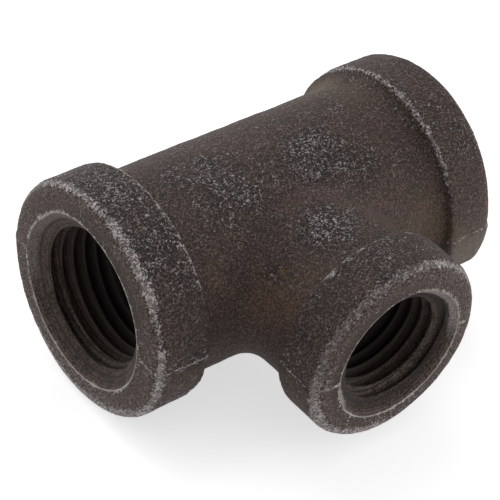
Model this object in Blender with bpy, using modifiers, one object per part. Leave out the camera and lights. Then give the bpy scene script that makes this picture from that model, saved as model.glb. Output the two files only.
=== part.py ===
"""Reducing pipe tee in black malleable iron: a straight run with a smaller branch.

The run lies along X, the branch points to -Y and +Z is up.  The part stands on Z = 0, with its origin
under the middle of its box.  The fitting is one casting; it is modelled as the hollow body and the three
reinforcing bands, which meet the body on flat sections at the foot of each band's shoulder.
"""

import math

import bmesh
import bpy
from mathutils import Euler, Matrix, Vector

MM = 0.001

# Centre of the run to the end faces
RUN_CENTRE_TO_END = 22.35 * MM
BRANCH_CENTRE_TO_END = 22.86 * MM

# Hollow body: the cored waterway and the wall cast around it
RUN_CORE_DIAMETER = 17.2 * MM
BRANCH_CORE_DIAMETER = 13.8 * MM
WALL = 2.6 * MM
SADDLE_FILLET = 3.1 * MM

# Reinforcing bands: how far each stands over its wall, and its width along the pipe
RUN_BAND_RISE = 1.55 * MM
RUN_BAND_WIDTH = 6.1 * MM
RUN_BAND_EDGE_RADIUS = 1.4 * MM
BRANCH_BAND_RISE = 1.2 * MM
BRANCH_BAND_WIDTH = 5.8 * MM
BRANCH_BAND_EDGE_RADIUS = 1.6 * MM
SHOULDER_FILLET = 0.9 * MM
SHOULDER_EDGE_RADIUS = 0.3 * MM

# Tapered pipe sockets, at the crests of the thread
RUN_SOCKET_DIAMETER = 15.0 * MM
RUN_SOCKET_DEPTH = 9.1 * MM
BRANCH_SOCKET_DIAMETER = 11.6 * MM
BRANCH_SOCKET_DEPTH = 8.1 * MM
SOCKET_TAPER = 1 / 16
COUNTERSINK_WIDTH = 1.95 * MM
COUNTERSINK_DEPTH = 1.4 * MM
RUNOUT_LENGTH = 1.5 * MM

# Facets
TURN_STEPS = 64
ARC_STEPS = 5
SADDLE_ARC_STEPS = 8
SHARP_ANGLE = math.radians(35)

# How far a cutter or a joined solid runs past the face it works on
OVERRUN = 1.0 * MM
FILLET_TUCK = 0.03 * MM

# Worked out from the values above
RUN_BARREL_RADIUS = RUN_CORE_DIAMETER / 2 + WALL
BRANCH_NECK_RADIUS = BRANCH_CORE_DIAMETER / 2 + WALL
RUN_BAND_RADIUS = RUN_BARREL_RADIUS + RUN_BAND_RISE
BRANCH_BAND_RADIUS = BRANCH_NECK_RADIUS + BRANCH_BAND_RISE
RUN_SECTION = RUN_CENTRE_TO_END - RUN_BAND_WIDTH - SHOULDER_FILLET
BRANCH_SECTION = BRANCH_CENTRE_TO_END - BRANCH_BAND_WIDTH - SHOULDER_FILLET
AXES_CROSSING = Vector((0.0, (BRANCH_CENTRE_TO_END - RUN_BAND_RADIUS) / 2, RUN_BAND_RADIUS))

# Turns that carry a shape's own +Z to the run's two ends and to the branch
TO_LEFT = Euler((0.0, -math.pi / 2, 0.0))
TO_RIGHT = Euler((0.0, math.pi / 2, 0.0))
TO_BRANCH = Euler((math.pi / 2, 0.0, 0.0))


def clear_scene():
    for obj in list(bpy.data.objects):
        bpy.data.objects.remove(obj, do_unlink=True)


def new_collection(name):
    collection = bpy.data.collections.new(name)
    bpy.context.scene.collection.children.link(collection)
    return collection


def black_iron(name, colour, roughness):
    material = bpy.data.materials.new(name)
    material.use_nodes = True
    shader = material.node_tree.nodes["Principled BSDF"]
    shader.inputs["Base Color"].default_value = (*colour, 1.0)
    shader.inputs["Roughness"].default_value = roughness
    shader.inputs["Metallic"].default_value = 0.35
    return material


def arc(centre, radius, start, end, steps):
    """Points of an arc in the profile plane, both ends included."""
    points = []
    for i in range(steps + 1):
        angle = start + (end - start) * i / steps
        points.append((centre[0] + radius * math.cos(angle), centre[1] + radius * math.sin(angle)))
    return points


def turned(name, profile, collection, closed):
    """A profile of (radius, height) points, turned about its own Z axis."""
    mesh = bpy.data.meshes.new(name)
    vertices = [(radius, 0.0, height) for radius, height in profile]
    count = len(vertices)
    edges = [(i, (i + 1) % count) for i in range(count if closed else count - 1)]
    mesh.from_pydata(vertices, edges, [])
    obj = bpy.data.objects.new(name, mesh)
    collection.objects.link(obj)
    screw = obj.modifiers.new("Turn", "SCREW")
    screw.axis = "Z"
    screw.angle = 2 * math.pi
    screw.steps = TURN_STEPS
    screw.render_steps = TURN_STEPS
    screw.use_merge_vertices = True
    screw.merge_threshold = 0.00001
    screw.use_smooth_shade = True
    return obj


def apply_modifiers(obj):
    """Keeps the evaluated shape as the object's own mesh, shaded smooth up to the sharp edges."""
    bpy.context.view_layer.update()
    evaluated = obj.evaluated_get(bpy.context.evaluated_depsgraph_get())
    mesh = bpy.data.meshes.new_from_object(evaluated)
    mesh.name = obj.name
    obj.modifiers.clear()
    obj.data = mesh
    mesh.shade_smooth()
    mesh.set_sharp_from_angle(angle=SHARP_ANGLE)


def as_tool(obj):
    obj.display_type = "WIRE"
    obj.hide_render = True
    return obj


def combine(obj, tool, operation):
    boolean = obj.modifiers.new(tool.name, "BOOLEAN")
    boolean.operation = operation
    boolean.solver = "EXACT"
    boolean.object = tool


def socket_radius(diameter, depth):
    """Radius of a tapered socket at a depth below its end face."""
    return (diameter - SOCKET_TAPER * depth) / 2


def band_profile(end, section, wall_radius, rise, edge_radius, socket_diameter):
    """Closed outline of a band: outside from end face to section, then back up through the socket."""
    outer = wall_radius + rise
    fillet = min(SHOULDER_FILLET, rise - SHOULDER_EDGE_RADIUS)
    shoulder = section + fillet
    mouth = socket_radius(socket_diameter, COUNTERSINK_DEPTH) + COUNTERSINK_WIDTH
    points = [(mouth, end)]
    points += arc((outer - edge_radius, end - edge_radius), edge_radius, math.pi / 2, 0.0, ARC_STEPS)
    points += arc(
        (outer - SHOULDER_EDGE_RADIUS, shoulder + SHOULDER_EDGE_RADIUS),
        SHOULDER_EDGE_RADIUS, 0.0, -math.pi / 2, ARC_STEPS // 2)
    points += arc(
        (wall_radius + fillet, section), fillet, math.pi / 2, math.pi, ARC_STEPS)
    points.append((socket_radius(socket_diameter, end - section), section))
    points.append((socket_radius(socket_diameter, COUNTERSINK_DEPTH), end - COUNTERSINK_DEPTH))
    return points


def waterway_profile(end, section, core_diameter, socket_diameter, socket_depth):
    """Open outline of one arm's cavity, from past the section down to the axes' crossing."""
    top = section + OVERRUN
    socket_end = end - socket_depth
    return [
        (0.0, top),
        (socket_radius(socket_diameter, end - top), top),
        (socket_radius(socket_diameter, socket_depth), socket_end),
        (core_diameter / 2, socket_end - RUNOUT_LENGTH),
    ]


def saddle_fillet(collection):
    """Ring that fills the inside corner where the branch neck leaves the run barrel.

    Its face is the path of a ball that rolls along the corner, touching both cylinders.
    """
    barrel = RUN_BARREL_RADIUS - FILLET_TUCK
    neck = BRANCH_NECK_RADIUS - FILLET_TUCK
    ball = min(SADDLE_FILLET, RUN_SECTION - BRANCH_NECK_RADIUS, BRANCH_SECTION - RUN_BARREL_RADIUS)
    depth = WALL / 2
    shape = bmesh.new()
    rings = []
    for i in range(TURN_STEPS):
        turn = 2 * math.pi * i / TURN_STEPS
        outward = Vector((math.cos(turn), 0.0, math.sin(turn)))
        centre = outward * (neck + ball)
        centre.y = -math.sqrt(max((barrel + ball) ** 2 - centre.z ** 2, 0.0))
        to_barrel = -Vector((0.0, centre.y, centre.z)).normalized()
        to_neck = -outward
        root = outward * (neck - depth)
        root.y = -math.sqrt(max((barrel - depth) ** 2 - root.z ** 2, 0.0))
        ring = [shape.verts.new(root)]
        for j in range(SADDLE_ARC_STEPS + 1):
            toward = to_barrel.slerp(to_neck, j / SADDLE_ARC_STEPS)
            ring.append(shape.verts.new(centre + toward * ball))
        rings.append(ring)
    for ring, following in zip(rings, rings[1:] + rings[:1]):
        for j in range(len(ring)):
            k = (j + 1) % len(ring)
            shape.faces.new((ring[j], ring[k], following[k], following[j]))
    bmesh.ops.recalc_face_normals(shape, faces=shape.faces)
    mesh = bpy.data.meshes.new("saddle_fillet")
    shape.to_mesh(mesh)
    shape.free()
    obj = bpy.data.objects.new("saddle_fillet", mesh)
    collection.objects.link(obj)
    return obj


def place(obj, axes, turn=None):
    obj.parent = axes
    if turn:
        obj.rotation_euler = turn


def make_body(parts, tools, axes):
    barrel = [
        (0.0, RUN_SECTION),
        (RUN_BARREL_RADIUS, RUN_SECTION),
        (RUN_BARREL_RADIUS, -RUN_SECTION),
        (0.0, -RUN_SECTION),
    ]
    neck = [
        (0.0, BRANCH_SECTION),
        (BRANCH_NECK_RADIUS, BRANCH_SECTION),
        (BRANCH_NECK_RADIUS, 0.0),
        (0.0, 0.0),
    ]
    run_arm = waterway_profile(
        RUN_CENTRE_TO_END, RUN_SECTION, RUN_CORE_DIAMETER, RUN_SOCKET_DIAMETER, RUN_SOCKET_DEPTH)
    run_waterway = run_arm + [(radius, -height) for radius, height in reversed(run_arm)]
    branch_waterway = waterway_profile(
        BRANCH_CENTRE_TO_END, BRANCH_SECTION, BRANCH_CORE_DIAMETER, BRANCH_SOCKET_DIAMETER,
        BRANCH_SOCKET_DEPTH)
    branch_waterway += [(BRANCH_CORE_DIAMETER / 2, 0.0), (0.0, 0.0)]

    body = turned("tee_body", barrel, parts, closed=False)
    place(body, axes, TO_RIGHT)
    joined = turned("branch_neck_solid", neck, tools, closed=False)
    place(as_tool(joined), axes, TO_BRANCH)
    fillet = saddle_fillet(tools)
    place(as_tool(fillet), axes)
    run_core = turned("run_waterway", run_waterway, tools, closed=False)
    place(as_tool(run_core), axes, TO_RIGHT)
    branch_core = turned("branch_waterway", branch_waterway, tools, closed=False)
    place(as_tool(branch_core), axes, TO_BRANCH)
    combine(body, joined, "UNION")
    combine(body, fillet, "UNION")
    combine(body, run_core, "DIFFERENCE")
    combine(body, branch_core, "DIFFERENCE")
    apply_modifiers(body)
    return body


def make_band(name, profile, parts, axes, turn):
    band = turned(name, profile, parts, closed=True)
    place(band, axes, turn)
    apply_modifiers(band)
    return band


def main():
    clear_scene()
    parts = new_collection("pipe_tee")
    tools = new_collection("pipe_tee_tools")
    axes = bpy.data.objects.new("pipe_tee_axes", None)
    axes.matrix_world = Matrix.Translation(AXES_CROSSING)
    parts.objects.link(axes)

    run_band = band_profile(
        RUN_CENTRE_TO_END, RUN_SECTION, RUN_BARREL_RADIUS, RUN_BAND_RISE, RUN_BAND_EDGE_RADIUS,
        RUN_SOCKET_DIAMETER)
    branch_band = band_profile(
        BRANCH_CENTRE_TO_END, BRANCH_SECTION, BRANCH_NECK_RADIUS, BRANCH_BAND_RISE,
        BRANCH_BAND_EDGE_RADIUS, BRANCH_SOCKET_DIAMETER)

    body = make_body(parts, tools, axes)
    body.data.materials.append(black_iron("body_iron", (0.055, 0.046, 0.043), 0.72))
    for name, profile, turn in (
        ("run_band_left", run_band, TO_LEFT),
        ("run_band_right", run_band, TO_RIGHT),
        ("branch_band", branch_band, TO_BRANCH),
    ):
        band = make_band(name, profile, parts, axes, turn)
        band.data.materials.append(black_iron(name + "_iron", (0.060, 0.051, 0.048), 0.70))


main()
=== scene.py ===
import math
from collections import namedtuple

import bmesh
import bpy
import numpy as np
from mathutils import Matrix, Vector, noise


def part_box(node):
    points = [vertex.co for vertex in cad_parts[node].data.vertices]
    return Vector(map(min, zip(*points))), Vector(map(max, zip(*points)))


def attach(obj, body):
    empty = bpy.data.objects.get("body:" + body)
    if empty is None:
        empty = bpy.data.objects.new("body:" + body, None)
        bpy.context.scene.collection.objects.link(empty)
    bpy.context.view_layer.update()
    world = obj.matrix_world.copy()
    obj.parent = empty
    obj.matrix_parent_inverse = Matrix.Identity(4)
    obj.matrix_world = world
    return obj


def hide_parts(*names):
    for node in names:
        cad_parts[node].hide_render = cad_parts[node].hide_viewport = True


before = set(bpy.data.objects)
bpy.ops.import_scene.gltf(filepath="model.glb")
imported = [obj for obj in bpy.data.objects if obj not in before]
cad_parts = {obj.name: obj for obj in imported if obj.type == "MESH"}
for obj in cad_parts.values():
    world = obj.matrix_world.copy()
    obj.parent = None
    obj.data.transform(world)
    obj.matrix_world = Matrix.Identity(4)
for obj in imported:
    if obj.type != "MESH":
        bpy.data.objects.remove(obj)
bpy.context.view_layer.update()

# Lengths are millimetres from the point where the three axes cross, unless a comment says otherwise.
# A pair of lengths says where a smooth step starts and where it ends.
MM = 0.001
X = np.array((1.0, 0.0, 0.0))
Y = np.array((0.0, 1.0, 0.0))
Z = np.array((0.0, 0.0, 1.0))

run_low, run_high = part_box("run_band_right")
branch_low, branch_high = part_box("branch_band")
body_low, body_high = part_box("tee_body")

CROSSING = Vector((0.0, (run_low.y + run_high.y) / 2, (run_low.z + run_high.z) / 2))
RUN_END = run_high.x / MM
RUN_SECTION = run_low.x / MM
RUN_BAND_RADIUS = (run_high.z - run_low.z) / 2 / MM
BARREL_RADIUS = (body_high.z - body_low.z) / 2 / MM
BRANCH_END = (CROSSING.y - branch_low.y) / MM
BRANCH_SECTION = (CROSSING.y - branch_high.y) / MM
BRANCH_BAND_RADIUS = (branch_high.x - branch_low.x) / 2 / MM

# Casting
WALL = 2.6
NECK_RADIUS = 9.5
SADDLE_FILLET = 3.1
LEFT_SHOULDER = RUN_SECTION + 0.6
RIGHT_SHOULDER = RUN_SECTION + 0.8
BRANCH_SHOULDER = BRANCH_SECTION + 0.6
SHOULDER_FILLET = 0.35
RUN_SHOULDER_RADIUS = 0.3
BRANCH_SHOULDER_RADIUS = 0.6
RUN_EDGE_RADIUS = 1.4
BRANCH_EDGE_RADIUS = 1.6
RUN_CORE = BARREL_RADIUS - WALL
BRANCH_CORE = NECK_RADIUS - WALL
TURN_STEPS = 160
ARC_STEPS = 8
VOXEL = 0.30
SMOOTH_FACTOR = 0.5
SMOOTH_PASSES = 4
SHARP_ANGLE = math.radians(40)

# Cove under the right band's shoulder, and the lower flare that it turns into towards the branch
COVE_LENGTH = 1.8
COVE_AWAY = (-2.0, 5.0)
COVE_LEAN = 0.5
COVE_LEANS = (4.0, 10.0)
COVE_GAP = 0.2
COVE_PAST = 0.5
FLARE_LENGTH = 3.0
FLARE_LENGTHENS = (0.0, 4.0)
FLARE_SHARE = 0.6
FLARE_TOWARD = (4.0, 9.0)

# Waviness: height, size and seed
WAVES = ((0.10, 7.0, 1), (0.05, 2.2, 2))
FACE_FLATNESS = 0.7
FLAT_FACE_DEPTHS = (1.2, 0.1)
SAND_HEIGHT = 0.035
SAND_SIZE = 0.8
FRACTAL_INCREMENT = 0.6
FRACTAL_LACUNARITY = 2.0
SEED_STEPS = (17.3, -9.1, 5.7)

# Parting line of the mould: its sway, and the ridge that it leaves in places
PARTING_SWAY = 0.25
PARTING_SWAY_SIZE = 1.6
RIDGE_HEIGHT = 0.12
RIDGE_WIDTH = 0.22
RIDGE_SWAY = 0.1
RIDGE_SWAY_SIZE = 2.0
RIDGE_PATCH_SIZE = 3.0
RIDGE_CONTRAST = 1.4

# Ground-off gate on the right band: it rises slowly towards the parting line and steps up there
GATE_HEIGHT = 0.45
GATE_RISE = (-4.0, 1.5)
GATE_RISE_SHARE = 0.55
GATE_STEP = (-0.1, 0.25)
GATE_STEP_SHARE = 0.45
GATE_FALL = (4.4, 6.0)
GATE_ALONG = (RUN_SECTION + 0.4, RUN_SECTION + 1.2)
GATE_FACING = (0.2, 0.6)

# Pipe thread, 18 to the inch, on a taper of 1 in 16
PITCH = 25.4 / 18
THREAD_DEPTH = 0.8 * PITCH
TAPER = 1 / 16
CREST_FLAT = 0.13
ROOT_FLAT = 0.07
COUNTERSINK_WIDTH = 2.1
COUNTERSINK_DEPTH = 1.4
LIP_WIDTH = 0.65
LIP_DEPTH = 0.62
LEAD_LENGTH = 0.8
FADE_LENGTH = 1.6 * PITCH
FADE_PAST_DEPTH = 0.4 * PITCH
RUNOUT_LENGTH = 1.5
CUTTER_START = -1.6 * PITCH
CUTTER_PAST_RUNOUT = 2.2 * PITCH
THREAD_COLUMNS = 96
ROWS_PER_PITCH = 12
CORE_STEP = 0.05
RUN_CREST_RADIUS = 7.5
RUN_SOCKET_DEPTH = 9.1
BRANCH_CREST_RADIUS = 5.8
BRANCH_SOCKET_DEPTH = 8.1

# How far the taps ran off the axes of the casting
LEFT_TAP_OFFSET = 0.22 * Y
BRANCH_TAP_OFFSET = 0.18 * X + 0.07 * Z

# A tapped socket: the middle of its mouth, its basis with the way in as third axis, its sizes, the depth
# of the first groove on the first axis, the depth where the thread starts, the turn, depth and width of
# the dent in the mouth, the turn of a second, burred stretch of its edge, how pale that stretch leaves the
# countersink, and the turn where painted shade on the end face around the mouth is deepest, with its reach
Socket = namedtuple(
    "Socket",
    "name mouth basis crest_radius depth core_radius first_groove lead"
    " dent_turn dent dent_width burr_turn burr_lip dull_turn dull_reach")
LEFT_TAP = Socket(
    name="left_tap", mouth=-RUN_END * X + LEFT_TAP_OFFSET, basis=(Y, Z, X),
    crest_radius=RUN_CREST_RADIUS, depth=RUN_SOCKET_DEPTH, core_radius=RUN_CORE,
    first_groove=2.15, lead=0.7,
    dent_turn=math.radians(38), dent=0.32, dent_width=math.radians(20),
    burr_turn=math.radians(-138), burr_lip=0.0, dull_turn=math.radians(135), dull_reach=2.6)
RIGHT_TAP = LEFT_TAP._replace(
    name="right_tap", mouth=RUN_END * X, basis=(Z, Y, -X), first_groove=1.9, dent_turn=0.0, dent=0.0)
BRANCH_TAP = Socket(
    name="branch_tap", mouth=-BRANCH_END * Y + BRANCH_TAP_OFFSET, basis=(Z, X, Y),
    crest_radius=BRANCH_CREST_RADIUS, depth=BRANCH_SOCKET_DEPTH, core_radius=BRANCH_CORE,
    first_groove=0.8, lead=0.2,
    dent_turn=math.radians(36), dent=0.38, dent_width=math.radians(28),
    burr_turn=math.radians(-105), burr_lip=0.9, dull_turn=math.radians(-65), dull_reach=1.8)
SOCKETS = (LEFT_TAP, RIGHT_TAP, BRANCH_TAP)

# Places on barrel and neck where handling rubbed the oxide pale: middle, reach and strength
RUBBED_SPOTS = (
    ((-10.6, -0.4, 11.1), 4.4, 0.54),
    ((-7.0, -0.6, 11.1), 5.0, 0.60),
    ((-2.0, -3.4, 10.6), 4.2, 0.50),
    ((-8.2, -3.4, 10.6), 5.6, 0.68),
    ((3.9, -3.4, 10.5), 4.8, 0.85),
    ((7.6, -5.2, 9.8), 3.6, 0.55),
    ((-1.2, -12.0, 9.4), 3.8, 0.88),
    ((-7.4, -11.4, 6.0), 1.8, 0.45),
    ((5.0, -1.0, -11.0), 6.0, 0.65),
    ((-4.0, 9.5, -6.0), 6.0, 0.55),
    ((6.0, 11.0, 3.0), 6.0, 0.50),
)

# Places where the sand left a smooth, lighter skin: middle, reach and strength
SMOOTH_SPOTS = (
    ((15.2, 8.4, 8.2), 4.2, 1.0),
    ((15.6, 3.4, 10.8), 3.4, 0.6),
    ((13.8, -10.8, 2.4), 3.6, 0.6),
)

# Places stained by rust: middle, reach and strength
RUST_SPOTS = (
    ((-7.1, -12.0, 6.2), 0.4, 1.0),
    ((-7.6, -12.2, 5.6), 1.8, 0.4),
    ((-9.6, -12.0, 2.6), 1.8, 0.5),
    ((-8.6, -15.5, 4.1), 1.4, 0.5),
    ((-5.6, -15.2, 7.6), 1.6, 0.4),
    ((15.3, -11.2, 1.2), 2.4, 0.4),
)

# Rubbed share of each surface outside those places, most of it above and below the middle
BARREL_RUB = 0.32
LEFT_BAND_RUB = 0.58
RIGHT_BAND_RUB = 0.35
BRANCH_BAND_RUB = 0.38
FACE_RUB = 0.32
LEAST_RUB = 0.25
RUB_GAIN = 0.75
RUB_ABOVE = (4.0, 11.0)
RUB_BELOW = (0.5, 8.0)
RUB_BELOW_GAIN = 1.4
# Run faces lighter towards the bottom: partly scuffs, partly painted light from the floor below
SCUFFED_AND_LIT_FACE = (3.0, 10.0)
UNDERSIDE = (5.0, 10.0)

# Where bands and end faces begin, the faces by two depths below the ends
FACE_DEPTHS = (0.9, 0.35)
RUN_BAND_STEP = (BARREL_RADIUS + 0.5, BARREL_RADIUS + 1.2)
BRANCH_BAND_STEP = (BRANCH_SECTION + 0.5, BRANCH_SECTION + 1.0)

# Black oxide comes with the rubbed grain, and the bands lose some of it below the parting line
RUB_TO_OXIDE = (0.0, 0.6)
LOW_BAND_LOSS = 0.55
LOW_BAND = (0.0, 2.0)

# Rubbed streak on a rim's rounding: the turn of its middle from the end face, and where it is narrower
# (less) or wider (more)
RUBBED_RIM_TURN = math.radians(56)
TOP_RIM_LESS = 0.12
TOP_RIM = (4.0, 10.0)
RIGHT_RIM_LESS = 0.45
BRANCH_SIDE = (1.0, 4.0)
# Wider on the underside: partly rubbed wear, partly painted light from the floor below
LOW_LEFT_WEAR_AND_LIGHT = 0.9
LOW_RIGHT_WEAR_AND_LIGHT = 0.6
BRANCH_CORNER_MORE = 0.45
BRANCH_CORNER = (1.0, 5.0)

# Narrower and wider places of the run's streak on the branch's side: by how much, height and reach
RIM_CHANGES = ((0.26, 4.2, 2.0), (-0.08, 8.6, 1.8))

# Stretch of the branch's rim, by its turn from the top, where the streak is faint
FAINT_RIM_TURN = math.radians(-40)
FAINT_RIM_WIDTH = math.radians(56)

# Worn edge of the shoulders: how far it lies inside the corner, and where it is narrower
RUN_SHOULDER_INSET = 0.1
BRANCH_SHOULDER_INSET = 0.2
RUN_SHOULDER_LESS = 0.25
BRANCH_SHOULDER_LESS = 0.28
LOW_SHOULDER_LESS = 1.1
LOW_SHOULDER = (-8.0, -1.0)
BROKEN_SHOULDER = 0.7
BROKEN_SHOULDER_SIZE = 1.1

# The parting line is worn on the bands alone, and a little less on the gate
OFF_BAND_SEAM = 5
GATE_SEAM = 0.12

# Marks around a mouth
FAR_FROM_MOUTH = 5.0
OUTSIDE_DEPTH = 20.0
NEAR_MOUTH = 2.6
MOUTH_SLACK = 0.1
CUT_EDGE_REACH = 0.5
BURR_WIDTH = math.radians(26)
# Share of its reach where the painted shade beside a mouth starts to fade
SHADE_START = 0.3


def arc(centre, radius, start, end):
    """Points of an arc in a profile's plane, both ends included."""
    angles = np.linspace(math.radians(start), math.radians(end), ARC_STEPS + 1)
    return [(centre[0] + radius * math.cos(a), centre[1] + radius * math.sin(a)) for a in angles]


def ring(radius, height, basis):
    """One turn of points about the third axis of the basis."""
    turn = np.linspace(0, 2 * math.pi, TURN_STEPS, endpoint=False)[:, None]
    return radius * np.cos(turn) * basis[0] + radius * np.sin(turn) * basis[1] + height * basis[2]


def new_object(name, points, faces):
    mesh = bpy.data.meshes.new(name)
    mesh.from_pydata(points.tolist(), [], faces)
    mesh.update()
    obj = bpy.data.objects.new(name, mesh)
    bpy.context.scene.collection.objects.link(obj)
    return obj


def turned(name, profile, basis):
    """Closed solid of a profile of (radius, height) points, with heights rising."""
    rings = np.array([ring(radius, height, basis) for radius, height in profile])
    index = np.arange(rings.shape[0] * TURN_STEPS).reshape(-1, TURN_STEPS)
    following = np.roll(index, -1, axis=1)
    quads = np.stack([index[:-1], following[:-1], following[1:], index[1:]], axis=-1)
    faces = quads.reshape(-1, 4).tolist()
    faces.append(index[0, ::-1].tolist())
    faces.append(index[-1].tolist())
    return new_object(name, rings.reshape(-1, 3), faces)


def band_outline(end, shoulder, wall, outer, shoulder_radius, edge_radius):
    """Outside of one arm's band, from the foot of its shoulder to its end face."""
    points = arc((wall + SHOULDER_FILLET, shoulder - SHOULDER_FILLET), SHOULDER_FILLET, 180, 90)
    points += arc((outer - shoulder_radius, shoulder + shoulder_radius), shoulder_radius, -90, 0)
    points += arc((outer - edge_radius, end - edge_radius), edge_radius, 0, 90)
    return points


def saddle_fillet():
    """Ring in the corner between neck and barrel, its face the path of a ball rolling along it."""
    turn = np.linspace(0, 2 * math.pi, TURN_STEPS, endpoint=False)
    outward = np.stack([np.cos(turn), np.zeros_like(turn), np.sin(turn)], axis=-1)
    centre = outward * (NECK_RADIUS + SADDLE_FILLET)
    centre[:, 1] = -np.sqrt((BARREL_RADIUS + SADDLE_FILLET) ** 2 - centre[:, 2] ** 2)
    to_barrel = -centre * (Y + Z)
    to_barrel /= np.linalg.norm(to_barrel, axis=1, keepdims=True)
    to_neck = -outward
    opening = np.arccos(np.clip((to_barrel * to_neck).sum(1, keepdims=True), -1, 1))
    root = outward * (NECK_RADIUS - WALL / 2)
    root[:, 1] = -np.sqrt((BARREL_RADIUS - WALL / 2) ** 2 - root[:, 2] ** 2)
    loops = [root]
    for share in np.linspace(0, 1, 2 * ARC_STEPS + 1):
        toward = np.sin((1 - share) * opening) * to_barrel + np.sin(share * opening) * to_neck
        loops.append(centre + SADDLE_FILLET * toward / np.sin(opening))
    loops = np.array(loops)
    index = np.arange(loops.shape[0] * TURN_STEPS).reshape(-1, TURN_STEPS)
    across = np.roll(index, -1, axis=0)
    quads = np.stack([index, across, np.roll(across, -1, axis=1), np.roll(index, -1, axis=1)], axis=-1)
    return new_object("saddle_fillet", loops.reshape(-1, 3), quads.reshape(-1, 4).tolist())


def evaluated(obj):
    """Makes the shape that the modifiers give the object's own mesh."""
    bpy.context.view_layer.update()
    shape = obj.evaluated_get(bpy.context.evaluated_depsgraph_get())
    mesh = bpy.data.meshes.new_from_object(shape)
    obj.modifiers.clear()
    obj.data = mesh


def combine(obj, tool, operation):
    """Joins a solid to the object or cuts it away. The faces that it leaves have its material."""
    boolean = obj.modifiers.new(tool.name, "BOOLEAN")
    boolean.operation = operation
    boolean.solver = "MANIFOLD"
    boolean.material_mode = "TRANSFER"
    boolean.object = tool
    evaluated(obj)
    bpy.data.objects.remove(tool)


def recalculated(obj):
    """Turns every face of a closed mesh outward."""
    shape = bmesh.new()
    shape.from_mesh(obj.data)
    bmesh.ops.recalc_face_normals(shape, faces=shape.faces)
    shape.to_mesh(obj.data)
    shape.free()
    return obj


def cast_blank():
    """The casting before it is tapped: run, bands, branch and saddle in one skin."""
    left, right = (
        band_outline(
            RUN_END, shoulder, BARREL_RADIUS, RUN_BAND_RADIUS, RUN_SHOULDER_RADIUS, RUN_EDGE_RADIUS)
        for shoulder in (LEFT_SHOULDER, RIGHT_SHOULDER))
    run = [(radius, -height) for radius, height in reversed(left)] + right
    branch = [(NECK_RADIUS, 0.0)]
    branch += band_outline(
        BRANCH_END, BRANCH_SHOULDER, NECK_RADIUS, BRANCH_BAND_RADIUS, BRANCH_SHOULDER_RADIUS,
        BRANCH_EDGE_RADIUS)
    blank = turned("tee_casting", run, (Y, Z, X))
    combine(blank, turned("branch", branch, (X, Z, -Y)), "UNION")
    combine(blank, recalculated(saddle_fillet()), "UNION")
    remesh = blank.modifiers.new("Remesh", "REMESH")
    remesh.mode = "VOXEL"
    remesh.voxel_size = VOXEL
    smooth = blank.modifiers.new("Smooth", "SMOOTH")
    smooth.factor = SMOOTH_FACTOR
    smooth.iterations = SMOOTH_PASSES
    evaluated(blank)
    return blank


def vectors(items, name):
    """One vector of each item, such as the place of each vertex, as rows of an array."""
    values = np.empty(len(items) * 3, np.float32)
    items.foreach_get(name, values)
    return values.reshape(-1, 3).astype(float)


def noise_at(points, size, seed, octaves=1):
    """Noise from about -1 to 1 at each point, with features of the given size."""
    shift = Vector([step * seed for step in SEED_STEPS])
    return np.array([
        noise.fractal(Vector(point) / size + shift, FRACTAL_INCREMENT, FRACTAL_LACUNARITY, octaves)
        for point in points])


def smooth_step(values, low, high):
    share = np.clip((values - low) / (high - low), 0, 1)
    return share * share * (3 - 2 * share)


def bell(values, middle, reach):
    """1 at the middle, falling smoothly on both sides."""
    return np.exp(-((values - middle) / reach) ** 2)


def end_faces(points, start, full):
    """Shares of the run's and the branch's end faces, rising between two depths below the ends."""
    x, y, _ = points.T
    run_face = smooth_step(np.abs(x), RUN_END - start, RUN_END - full)
    branch_face = smooth_step(-y, BRANCH_END - start, BRANCH_END - full)
    return run_face, branch_face


def below_parting(points):
    """Distance below the wavy parting line of the mould."""
    return -points[:, 2] - PARTING_SWAY * noise_at(points, PARTING_SWAY_SIZE, seed=6)


def gate_height(points, normals):
    """Height of the ground-off gate, mostly below the parting line on the branch's side."""
    x, y, z = points.T
    step = smooth_step(below_parting(points), *GATE_STEP)
    across = GATE_RISE_SHARE * smooth_step(-z, *GATE_RISE) + GATE_STEP_SHARE * step
    across = across * (1 - smooth_step(-z, *GATE_FALL))
    on_band = smooth_step(x, *GATE_ALONG) * (y < 0)
    outward = smooth_step(np.hypot(normals[:, 1], normals[:, 2]), *GATE_FACING)
    return GATE_HEIGHT * across * on_band * outward


def fill_cove(points):
    """Fills the corner under the right band's shoulder: a cove, or a flare on the branch's side."""
    x, y, z = points.T
    radius = np.hypot(y, z)
    away = smooth_step(y, *COVE_AWAY)
    toward = FLARE_SHARE * smooth_step(-y, *FLARE_TOWARD)
    length = COVE_LENGTH + (FLARE_LENGTH - COVE_LENGTH) * smooth_step(-y, *FLARE_LENGTHENS)
    foot = RIGHT_SHOULDER - COVE_LEAN * smooth_step(y, *COVE_LEANS) - length
    share = np.clip((x - foot) / length, 0, 1)
    height = RUN_BAND_RADIUS - BARREL_RADIUS - COVE_GAP
    cove = BARREL_RADIUS + height * share ** 2 * np.maximum(away, toward)
    near = (x > foot) & (x < RIGHT_SHOULDER + COVE_PAST)
    filled = np.where(near, np.maximum(radius, cove), radius)
    points[:, 1:] *= (filled / radius)[:, None]


def skin_height(points):
    """Waviness and sand grain of a casting, with the ridge of its parting line."""
    face = np.maximum(*end_faces(points, *FLAT_FACE_DEPTHS))
    waves = sum(height * noise_at(points, size, seed) for height, size, seed in WAVES)
    height = waves * (1 - FACE_FLATNESS * face)
    height += SAND_HEIGHT * noise_at(points, SAND_SIZE, seed=3, octaves=2)
    patch = np.clip(0.5 + RIDGE_CONTRAST * noise_at(points, RIDGE_PATCH_SIZE, seed=4), 0, 1)
    middle = RIDGE_SWAY * noise_at(points, RIDGE_SWAY_SIZE, seed=5)
    return height + RIDGE_HEIGHT * patch * bell(points[:, 2], middle, RIDGE_WIDTH)


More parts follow.
